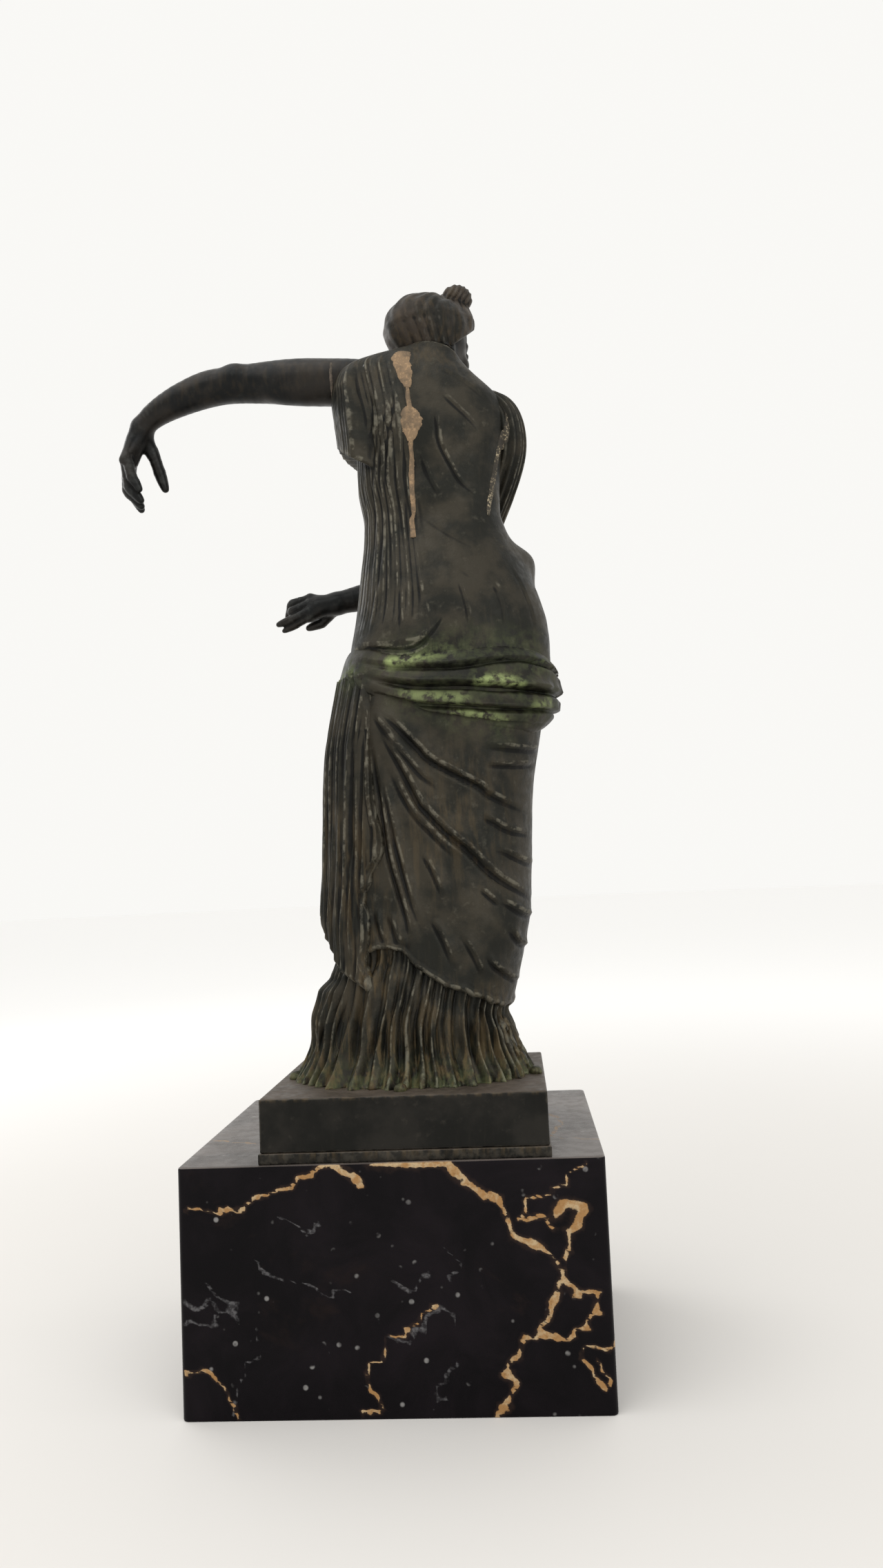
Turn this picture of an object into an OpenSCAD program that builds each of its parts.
// Draped classical figure in hollow bronze castings, riveted to a bronze plinth
// and held on a marble block by one tie rod. The figure faces -Y; her left is +X.

/* [Marble block] */
// Width of the marble block
block_w = 100; // [90:1:130]
// Depth of the marble block, front to back
block_d = 83; // [82:1:110]
// Height of the marble block
block_h = 57; // [30:1:80]
// Radius of the block's upright corners
block_r = 1.5; // [0.5:0.1:4]

/* [Plinth] */
// Width of the bronze plinth
plinth_w = 68; // [66:0.5:74]
// Depth of the bronze plinth
plinth_d = 59; // [58:0.5:60]
// Height of the bronze plinth
plinth_h = 12.5; // [9:0.5:20]
// Thickness of the plinth's walls and deck
plinth_t = 3; // [2:0.1:4]
// Thickness of the foot plate under the plinth
foot_t = 2.5; // [1.5:0.1:4]
// How far the foot plate stands out past the plinth
foot_lip = 0.4; // [0:0.1:1]

/* [Figure] */
// Height of the figure above the plinth
figure_h = 215; // [205:0.5:225]
// Wall thickness of the hollow castings
wall = 3; // [2.4:0.1:3.4]
// Depth of the gathers round the underskirt's hem
gather_depth = 1.1; // [0:0.1:1.6]
// Depth of the folds in the mantle and the tunic
fold_depth = 0.7; // [0:0.1:1]

/* [Fixings] */
// Radius of the tie rod
rod_r = 2.5; // [2:0.1:3]
// Radius of the recess for the nut under the block
recess_r = 11; // [10:0.5:14]
// Depth of the recess under the block
recess_h = 12; // [10:0.5:18]
// Radius of the pins that hold the arms
pin_r = 0.9; // [0.7:0.1:1.2]

/* [Hidden] */

BRONZE = [0.24, 0.21, 0.17];
FILLER = [0.55, 0.44, 0.32];
STEEL = [0.55, 0.56, 0.58];

plinth_at = [-3.5, 10.5];            // centre of the plinth on the block
plate_z = block_h;                   // underside of the foot plate
plinth_z = plate_z + foot_t;         // underside of the plinth
deck_z = plinth_z + plinth_h;        // top of the plinth, where the figure stands
drawn_h = 215;                       // height at which the figure's sizes below are given
k = figure_h / drawn_h;
gap = 0.03;                          // clearance of rods, tenons and pins in their holes
solder_t = 0.6;                      // thickness of a soldered joint
filler_t = 0.35;                     // how far filler stands proud of the casting

SIDES = 48;                          // points round a casting
SQUARE = 0.87;                       // 1 is an ellipse, smaller is fuller at the corners

// ---- Figure outline, as [height above the plinth, extent] ----
SKIRT_Z = [0, 1.5, 4, 8, 12, 16, 19, 22, 25, 28, 33, 40, 47, 54, 61, 68, 76, 84,
           89, 92, 96, 99, 102, 105, 108, 110, 112];
SKIRT_LEFT = [[0, 27], [1.5, 25.5], [4, 23.8], [8, 21.8], [15, 22], [19, 24.5], [23, 21], [27, 15.5],
              [33, 17.8], [40, 19.3], [54, 17.3], [76, 16.2], [84, 16.2], [91, 15.2], [98, 13.3],
              [105, 11.5], [112, 9.5]];
SKIRT_RIGHT = [[0, -36], [1.5, -35.5], [4, -34], [8, -31], [15, -29.5], [19, -30.8], [26, -32.6],
               [40, -35.8], [54, -37], [69, -37.4], [76, -38.4], [84, -40.3], [91, -42.6],
               [98, -46.4], [103, -48.4], [107, -47.4], [112, -45.5]];
SKIRT_FRONT = [[0, -17], [8, -12.5], [18, -12], [30, -11], [55, -13], [75, -11], [90, -10],
               [99, -12], [106, -11.5], [112, -9]];
SKIRT_BACK = [[0, 33], [4, 30.5], [8, 28.5], [18, 28.5], [30, 27.5], [55, 26.5], [75, 27],
              [90, 28], [99, 31], [106, 30.5], [112, 28.5]];
hem_h = 17;                          // where the mantle's hem crosses the underskirt

TORSO_Z = [112, 116, 121, 126, 132, 137, 142, 147, 152, 157, 161, 164, 166.5, 170, 174, 178,
           182, 185, 187.5, 190.5, 192.8, 194.2];
TORSO_LEFT = [[112, 9.3], [118, 6.8], [125, 5.6], [132, 4.6], [139, 3.6], [147, 3.2], [155, 5.2],
              [164, 5.3], [166.5, 10.2], [178, 11], [185, 10.6], [187.5, 9.3], [190.5, 2.5],
              [192.8, -4.3], [194.2, -9.8]];
TORSO_RIGHT = [[112, -45.5], [118, -44.2], [125, -42], [132, -38.8], [139, -35.5], [147, -33],
               [155, -33.2], [163, -34], [171, -35.2], [178, -36], [184, -36.3], [187.5, -35.3],
               [190.5, -30.5], [192.8, -26.7], [194.2, -24.6]];
TORSO_FRONT = [[112, -9], [118, -8.5], [125, -7.5], [132, -6], [139, -4.5], [147, -3.5],
               [155, -4.8], [163, -7.5], [171, -7.5], [178, -5], [184, -2.5], [187.5, -1],
               [190.5, 0], [192.8, 0.6], [194.2, 0.2]];
TORSO_BACK = [[112, 28.5], [118, 27.5], [125, 26], [132, 24], [139, 22], [147, 20.5], [155, 20.5],
              [163, 21], [171, 21.5], [178, 21], [184, 20], [187.5, 18.5], [190.5, 17],
              [192.8, 15.5], [194.2, 14.8]];
// Slope of the shoulders: her left shoulder is raised
TORSO_TILT = [[112, 0], [155, 0], [163, 3], [178, 9], [187.5, 14], [192.8, 14], [194.2, 8]];

// How far each ring drops from its back to its front, as a slope
TORSO_PITCH = [[112, 0], [163, 0], [174, 0.12], [182, 0.3], [188, 0.5], [192, 0.68], [194.2, 0.75]];

NECK = [-17, 7, 191.2];              // middle of the joint between neck and torso
neck_lean = 30;                      // how far the neck leans forward, degrees
neck_r = 6.3;
neck_tenon_r = 3.6;
HEAD = [-16.8, 3, 197.6];            // middle of the head
neck_h = 12;                         // length of the neck above its joint
neck_tenon_h = 9;                    // how far its tenon reaches into the torso
head_turn = -52;                     // she looks to her right
head_nod = 8;                        // and a little down
tenon_r = 3;                         // tenons of the arms
spigot_h = 12;                       // how far the torso casting reaches down into the skirt

ARM_AXIS = [8, 187.2];               // y and height of the left shoulder joint
arm_face_x = 10.6;                   // where the left arm meets the shoulder
ARM_PIN_X = 0.7;
RIGHT_JOINT = [3, 171];              // y and height of the right shoulder joint
right_face_x = -32.5;

RIVETS = [[25, 5.5], [-3, 32.5], [-33.8, 4], [-4, -15.5]];
rivet_r = 1.1;
rivet_head_r = 1.8;
lug_r = 3.2;
lug_t = 1.6;
lug_reach = [-3.5, 8, 17];           // centre and radius of the space the lugs leave open
rivet_head_h = 1;

nut_h = 1.6 * rod_r;
washer_t = 1.2;
rod_tail = 8;                        // how far the rod hangs into the block's recess
past_nut = 2;                        // how far it stands past the nut on the deck
arm_pin_y = 17.5;                    // where the arm pins start, at her back
arm_pin_l = 16;
cut = 1;                             // how far a cutting shape stands past what it cuts

// Rings up the head, each [height, half width, front, back]
HEAD_ROWS = [[-13, 1.6, -8.4, -5], [-12.2, 3.6, -9.4, -2.5], [-10.5, 5.4, -9.6, 1.5],
             [-8.5, 6.6, -9.4, 4.5], [-6, 7.8, -9.6, 8], [-3.5, 9.2, -9.6, 12], [-1, 10.4, -9.6, 13.8],
             [1.5, 11.2, -10, 14.6], [4, 11.6, -10.2, 14.8], [6.5, 11.4, -10, 14.4],
             [9, 10.5, -9.2, 13], [11.3, 8.8, -7.4, 10.8], [13, 6.2, -5, 7.6], [13.9, 2.8, -2, 3.6]];
KNOT = [0, -4.6, 15.6];
knot_stem_h = 4;                     // stem of hair between the knot and the crown

// ---- Functions ----
function spow(v, e) = sign(v) * pow(abs(v), e);
function unit(v) = v / norm(v);
function mix(a, b, t) = a + (b - a) * t;

// Points of one ring: reach is [left, right, front, back], grow moves it outwards
function ring(z, reach, tilt, pitch, grow, relief) =
    let(cx = (reach[0] + reach[1]) / 2, cy = (reach[2] + reach[3]) / 2,
        a = (reach[0] - reach[1]) / 2 + grow, b = (reach[3] - reach[2]) / 2 + grow)
    [for (i = [0:SIDES - 1])
        let(t = 360 * i / SIDES, d = relief(t, z),
            x = (a + d) * spow(cos(t), SQUARE), y = (b + d) * spow(sin(t), SQUARE))
        [cx + x * cos(tilt), cy + y, z + x * sin(tilt) + (y - b) * pitch]];

plain = function(t, z) 0;
// Gathers at the hem, then long folds that run down across the mantle
skirt_relief = function(t, z)
    z < hem_h ? -gather_depth + gather_depth * cos(14 * t) * (1 - 0.4 * z / hem_h)
              : fold_depth * (cos(7 * t + 3 * z) - 0.6) * min(1, (z - hem_h) / 12, (114 - z) / 10);
// Upright folds in the tunic
torso_relief = function(t, z)
    fold_depth * (cos(11 * t + 0.8 * z) - 1) * min(1, max(0, (192 - z) / 20), (z - 110) / 12);

function skirt_ring(z, grow, relief) =
    ring(z, [lookup(z, SKIRT_LEFT), lookup(z, SKIRT_RIGHT), lookup(z, SKIRT_FRONT),
             lookup(z, SKIRT_BACK)], 0, 0, grow, relief);
function torso_ring(z, grow, relief) =
    ring(z, [lookup(z, TORSO_LEFT), lookup(z, TORSO_RIGHT), lookup(z, TORSO_FRONT),
             lookup(z, TORSO_BACK)], lookup(z, TORSO_TILT), lookup(z, TORSO_PITCH), grow, relief);
// Round rim of the neck joint, in its own leaning plane
neck_rim = [for (i = [0:SIDES - 1])
    let(x = neck_r * cos(360 * i / SIDES), y = neck_r * sin(360 * i / SIDES))
    NECK + [x, y * cos(neck_lean), y * sin(neck_lean)]];

// One ring of a limb: centre p, direction d, half sizes across (h) and through (w)
function limb_ring(p, d, h, w, sides) =
    let(side = unit(cross(d, [0, 1, 0])), deep = unit(cross(d, side)))
    [for (i = [0:sides - 1]) p + side * h * cos(360 * i / sides) + deep * w * sin(360 * i / sides)];

// ---- Shared modules ----
module figure() { translate([0, 0, deck_z]) scale(k) children(); }
module bronze() { color(BRONZE) children(); }

// Skin over a list of rings with the same number of points; loop joins the last to the first
module loft(rings, loop = false) {
    n = len(rings);
    m = len(rings[0]);
    skin = [for (i = [0:(loop ? n - 1 : n - 2)], j = [0:m - 1])
        let(a = i * m + j, b = i * m + (j + 1) % m,
            c = (i + 1) % n * m + j, d = (i + 1) % n * m + (j + 1) % m)
        each [[a, c, b], [b, c, d]]];
    caps = loop ? [] : [[for (j = [0:m - 1]) j], [for (j = [m - 1:-1:0]) (n - 1) * m + j]];
    polyhedron([for (r = rings) each r], concat(skin, caps), convexity = 6);
}

// Limb through rows of [point, half height, half width]
module limb(rows, sides = 16) {
    n = len(rows);
    loft([for (i = [0:n - 1])
        let(d = unit(rows[min(i + 1, n - 1)][0] - rows[max(i - 1, 0)][0]))
        limb_ring(rows[i][0], d, rows[i][1], rows[i][2], sides)]);
}

// A finger from knuckle a through joint b to tip c
module finger(a, b, c, r) {
    limb([[a, r, r], [mix(a, b, 0.6), r * 0.95, r * 0.95], [b, r * 0.9, r * 0.9],
          [mix(b, c, 0.8), r * 0.7, r * 0.7], [c, r * 0.35, r * 0.35]], 8);
}

module corner_box(w, d, h, r, steps = 6) {
    linear_extrude(h) polygon([for (q = [0:3], s = [0:steps])
        let(t = 90 * q + 90 * s / steps, sx = (q == 0 || q == 3) ? 1 : -1, sy = q < 2 ? 1 : -1)
        [sx * (w / 2 - r) + r * cos(t), sy * (d / 2 - r) + r * sin(t)]]);
}

module hex_nut(h) {
    difference() {
        cylinder(r = rod_r * 1.85, h = h, $fn = 6);
        translate([0, 0, -1]) cylinder(r = rod_r + gap, h = h + 2, $fn = 48);
    }
}

// ---- Base ----
module marble_block() {
    color([0.08, 0.07, 0.09]) difference() {
        corner_box(block_w, block_d, block_h, block_r);
        translate([plinth_at[0], plinth_at[1], -1]) {
            cylinder(r = recess_r, h = recess_h + 1, $fn = 64);
            cylinder(r = rod_r + 0.5, h = block_h + 2, $fn = 48);
        }
    }
}

module foot_plate() {
    bronze() translate([plinth_at[0], plinth_at[1], plate_z]) difference() {
        corner_box(plinth_w + 2 * foot_lip, plinth_d + 2 * foot_lip, foot_t, 0.6, 1);
        translate([0, 0, -1]) cylinder(r = rod_r + 0.2, h = foot_t + 2, $fn = 48);
    }
}

// Hollow box with a boss for the rod, and holes for the hem rivets
module plinth() {
    bronze() difference() {
        translate([plinth_at[0], plinth_at[1], plinth_z]) {
            difference() {
                corner_box(plinth_w, plinth_d, plinth_h, 0.7, 1);
                translate([0, 0, -1]) corner_box(plinth_w - 2 * plinth_t, plinth_d - 2 * plinth_t,
                                                 plinth_h - plinth_t + 1, 0.7, 1);
            }
            cylinder(r = 2.6 * rod_r, h = plinth_h - plinth_t / 2, $fn = 48);
        }
        translate([plinth_at[0], plinth_at[1], plinth_z - cut])
            cylinder(r = rod_r + gap, h = plinth_h + 2 * cut, $fn = 48);
        for (p = RIVETS) translate([p[0] * k, p[1] * k, plinth_z])
            cylinder(r = (rivet_r + gap) * k, h = plinth_h + cut, $fn = 32);
    }
}

// ---- Figure ----
// Underskirt and mantle in one hollow casting, open at both ends, with lugs for the rivets
module skirt_casting() {
    bronze() figure() difference() {
        union() {
            loft(concat([for (z = SKIRT_Z) skirt_ring(z, 0, skirt_relief)],
                        [for (z = [112, 98, 84, 60, 40, 27, 20, 8, 0]) skirt_ring(z, -wall, plain)]),
                 loop = true);
            for (p = RIVETS) intersection() {
                translate([p[0], p[1], 0]) cylinder(r = lug_r, h = lug_t, $fn = 32);
                difference() {
                    translate([-60, -60, 0]) cube([120, 120, lug_t]);
                    translate([lug_reach[0], lug_reach[1], -cut])
                        cylinder(r = lug_reach[2], h = lug_t + 2 * cut, $fn = 48);
                }
            }
        }
        for (p = RIVETS) translate([p[0], p[1], -1]) {
            cylinder(r = rivet_r + gap, h = lug_t + 8, $fn = 32);
            translate([0, 0, 1 + lug_t]) cylinder(r = rivet_head_r + 0.2, h = 7, $fn = 32);
        }
    }
}

// Solid form of the torso, used for its own outside and to seat the right arm
module torso_form() {
    loft(concat([for (z = TORSO_Z) torso_ring(z, 0, torso_relief)], [neck_rim]));
}

// Hollow torso with sockets for the neck and both arms, and a spigot that laps into the skirt
module torso_casting() {
    inner = [186, 180, 172, 160, 147, 130, 112];
    bronze() figure() difference() {
        union() {
            loft(concat([for (z = inner) z == 112 ? skirt_ring(z, -2 * wall, plain)
                            : torso_ring(z, z > 175 ? -wall * 1.4 : -wall * 1.1, plain)],
                        [skirt_ring(112 - spigot_h, -2 * wall, plain)],
                        [for (z = [112 - spigot_h, 112]) skirt_ring(z, -wall - 0.25, plain)],
                        [for (z = TORSO_Z) torso_ring(z, 0, torso_relief)],
                        [neck_rim]));
            translate([-6, ARM_AXIS[0], ARM_AXIS[1]]) rotate([0, 90, 0])
                cylinder(r = 5.9, h = arm_face_x - solder_t + 6, $fn = 48);
        }
        translate([-5, ARM_AXIS[0], ARM_AXIS[1]]) rotate([0, 90, 0])
            cylinder(r = tenon_r + gap, h = arm_face_x + 6, $fn = 48);
        translate([-50, RIGHT_JOINT[0], RIGHT_JOINT[1]]) rotate([0, 90, 0])
            cylinder(r = tenon_r + gap, h = 28, $fn = 48);
        at_neck() translate([0, 0, -neck_tenon_h - 2])
            cylinder(r = neck_tenon_r + gap, h = neck_tenon_h + 2 + cut, $fn = 48);
        arm_pin_hole(ARM_PIN_X, ARM_AXIS[1]);
        arm_pin_hole(right_face_x + 5, RIGHT_JOINT[1]);
    }
}

module arm_pin_hole(x, z) {
    translate([x, 30, z]) rotate([90, 0, 0]) cylinder(r = pin_r + gap, h = 30, $fn = 32);
}

module at_neck() { translate(NECK) rotate([neck_lean, 0, 0]) children(); }

// Head and neck with the hair tied in a knot at the crown; a tenon seats it in the torso
module head() {
    reach = 40;
    bronze() figure() {
        at_neck() translate([0, 0, -neck_tenon_h])
            cylinder(r = neck_tenon_r, h = neck_tenon_h + solder_t + 1, $fn = 48);
        intersection() {
            union() {
                translate(HEAD) rotate([0, 0, head_turn]) rotate([head_nod, 0, 0]) {
                    head_form();
                    translate(KNOT) knot();
                    translate([KNOT[0], KNOT[1], KNOT[2] - knot_stem_h])
                        cylinder(r1 = 3.6, r2 = 1.6, h = knot_stem_h, $fn = 24);
                }
                at_neck() cylinder(r = neck_r, h = neck_h, $fn = 48);
            }
            at_neck() translate([-reach, -reach, solder_t]) cube([2 * reach, 2 * reach, 2 * reach]);
        }
    }
}

module head_form() {
    sides = 28;
    nose = function(t, z) 1.8 * max(0, 1 - pow((t - 270) / 14, 2)) * max(0, 1 - pow((z + 4) / 3.4, 2));
    loft([for (h = HEAD_ROWS) [for (i = [0:sides - 1])
        let(t = 360 * i / sides, mid = (h[2] + h[3]) / 2, deep = (h[3] - h[2]) / 2)
        [h[1] * cos(t), mid + deep * sin(t) - nose(t, h[0]), h[0]]]]);
}

// Bow-shaped knot of hair
module knot() {
    loft([for (i = [0:8])
        let(s = i / 8, w = 1.3 + 1.9 * sin(180 * s) - 0.8 * pow(sin(180 * s), 8))
        [for (j = [0:15])
            let(t = 360 * j / 16)
            [(s - 0.5) * 8.4, w * 0.9 * cos(t), w * 0.8 * sin(t)]]]);
}

// Outstretched arm: the hand hangs from the wrist with its fingers together
module left_arm() {
    y = ARM_AXIS[0];
    z = ARM_AXIS[1];
    bronze() figure() difference() {
        union() {
            limb([[[arm_face_x, y, z], 6, 5.9], [[24, y, z + 1.2], 5.8, 5.8],
                  [[33, y - 0.4, z + 2], 5.3, 5.2],
                  [[40.5, y - 1, z + 2.2], 5, 4.9], [[47, y - 1.4, z + 1.6], 4.8, 4.8],
                  [[55, y - 1.9, z - 0.8], 4.2, 4.3], [[61.5, y - 2.4, z - 3.8], 3.5, 3.6],
                  [[66.4, y - 3, z - 8], 3.1, 3.6], [[69.4, y - 3.4, z - 16], 2.9, 3.9]]);
            translate([-4, y, z]) rotate([0, 90, 0]) cylinder(r = tenon_r, h = arm_face_x + 5, $fn = 48);
            for (i = [0:3])
                finger([68.6, y - 5.2 + 1.7 * i, z - 13.4], [71 - 0.6 * i, y - 7 + 2.1 * i, z - 23.6],
                       [67.8 - 0.4 * i, y - 7.2 + 2 * i, z - 29.6 + 0.45 * i * i], 1.3);
            finger([66.6, y - 4.4, z - 9.4], [62.8, y - 7.4, z - 18.8], [61.4, y - 8.1, z - 23.6], 1.4);
        }
        arm_pin_hole(ARM_PIN_X, z);
    }
}

// Upper arm, forearm and hand that cross in front of the waist; its shoulder is seated on the torso
module right_arm() {
    bronze() figure() difference() {
        union() {
            difference() {
                limb([[[-33.2, 8, 182], 3, 4], [[-33.6, 7, 179], 5.4, 6.2], [[-34.2, 5, 173], 6.2, 7],
                      [[-33.6, 2, 166], 6, 6.6], [[-31, -3, 158], 5.7, 6], [[-27.2, -9, 150], 5.1, 5.4],
                      [[-21.5, -14, 142], 4.8, 5], [[-15, -16.5, 138], 4.8, 4.8],
                      [[-6, -16.8, 135.6], 4.5, 4.5],
                      [[4, -16.2, 133.6], 4.1, 4.2], [[12.5, -15, 132], 3.4, 3.4],
                      [[19.5, -14.2, 130.8], 4.2, 2.8], [[24, -13.8, 130.2], 4, 2.3]]);
                torso_form();
            }
            translate([right_face_x - 4, RIGHT_JOINT[0], RIGHT_JOINT[1]]) rotate([0, 90, 0])
                cylinder(r = tenon_r, h = 13, $fn = 48);
            finger([23.4, -14.9, 133.2], [28.7, -15.4, 132.2], [30.4, -15.8, 128.4], 1.25);
            finger([23.8, -13.6, 131.3], [28.6, -13.8, 129.6], [27.2, -14.6, 126.6], 1.25);
            finger([23.6, -12.7, 129.2], [28.4, -12.6, 127], [32.6, -12.6, 125.6], 1.2);
            finger([23.2, -12.8, 127.6], [27.6, -13.2, 125.4], [31.2, -13.6, 123.9], 1.05);
            finger([17.6, -16.2, 128.8], [20.6, -17.4, 126.6], [24.6, -17.4, 125.2], 1.4);
        }
        arm_pin_hole(right_face_x + 5, RIGHT_JOINT[1]);
    }
}

module arm_pin(x, z) {
    translate([x, arm_pin_y, z]) rotate([90, 0, 0]) cylinder(r = pin_r, h = arm_pin_l, $fn = 32);
}
module left_arm_pin() { color(STEEL) figure() arm_pin(ARM_PIN_X, ARM_AXIS[1]); }
module right_arm_pin() { color(STEEL) figure() arm_pin(right_face_x + 5, RIGHT_JOINT[1]); }

module neck_solder() {
    color(FILLER) figure() at_neck() difference() {
        cylinder(r = neck_r + 0.2, h = solder_t, $fn = 64);
        translate([0, 0, -1]) cylinder(r = neck_tenon_r + gap, h = solder_t + 2, $fn = 48);
    }
}

module left_arm_solder() {
    color(FILLER) figure() translate([arm_face_x - solder_t, ARM_AXIS[0], ARM_AXIS[1]]) rotate([0, 90, 0])
        difference() {
            cylinder(r = 5.9, h = solder_t, $fn = 64);
            translate([0, 0, -1]) cylinder(r = tenon_r + gap, h = solder_t + 2, $fn = 48);
        }
}

// A patch that lies on the torso's skin between two rings and two columns of its points
module skin_strip(rings, col_a, col_b) {
    n = len(rings);
    w = col_b - col_a + 1;
    low = [for (z = rings) let(r = torso_ring(z, 0, torso_relief)) [for (j = [col_a:col_b]) r[j]]];
    high = [for (z = rings) let(r = torso_ring(z, filler_t, torso_relief)) [for (j = [col_a:col_b]) r[j]]];
    loft([for (i = [0:n - 1]) concat(low[i], [for (j = [w - 1:-1:0]) high[i][j]])]);
}

module back_seam_filler() {
    color(FILLER) figure() skin_strip([142, 147, 152, 157, 161, 164, 166.5], 11, 12);
}
module back_patch() { color(FILLER) figure() skin_strip([170, 174, 178], 11, 12); }
module nape_patch() { color(FILLER) figure() skin_strip([182, 185, 187.5, 190.5], 11, 12); }
module right_seam_filler() { color(FILLER) figure() skin_strip([147, 152, 157, 161], 20, 21); }

module hem_rivets() {
    bronze() translate([0, 0, deck_z]) for (p = RIVETS) translate([p[0] * k, p[1] * k, 0]) scale(k) {
        translate([0, 0, -plinth_t]) cylinder(r = rivet_r, h = plinth_t + lug_t + 0.1, $fn = 32);
        translate([0, 0, lug_t])
            cylinder(r1 = rivet_head_r, r2 = rivet_head_r * 0.6, h = rivet_head_h, $fn = 32);
    }
}

// ---- Tie rod and its nuts ----
module at_rod(z) { translate([plinth_at[0], plinth_at[1], z]) children(); }
module tie_rod() {
    color(STEEL) at_rod(recess_h - rod_tail)
        cylinder(r = rod_r, h = deck_z + nut_h + past_nut - recess_h + rod_tail, $fn = 48);
}
module rod_washer() {
    color(STEEL) at_rod(recess_h - washer_t) difference() {
        cylinder(r = recess_r - 3, h = washer_t, $fn = 48);
        translate([0, 0, -1]) cylinder(r = rod_r + 0.2, h = washer_t + 2, $fn = 48);
    }
}
module rod_nut() { color(STEEL) at_rod(recess_h - washer_t - nut_h) hex_nut(nut_h); }
module deck_nut() { color(STEEL) at_rod(deck_z) hex_nut(nut_h); }

marble_block();
foot_plate();
plinth();
skirt_casting();
torso_casting();
head();
left_arm();
right_arm();
left_arm_pin();
right_arm_pin();
neck_solder();
left_arm_solder();
back_seam_filler();
nape_patch();
back_patch();
right_seam_filler();
hem_rivets();
tie_rod();
rod_washer();
rod_nut();
deck_nut();
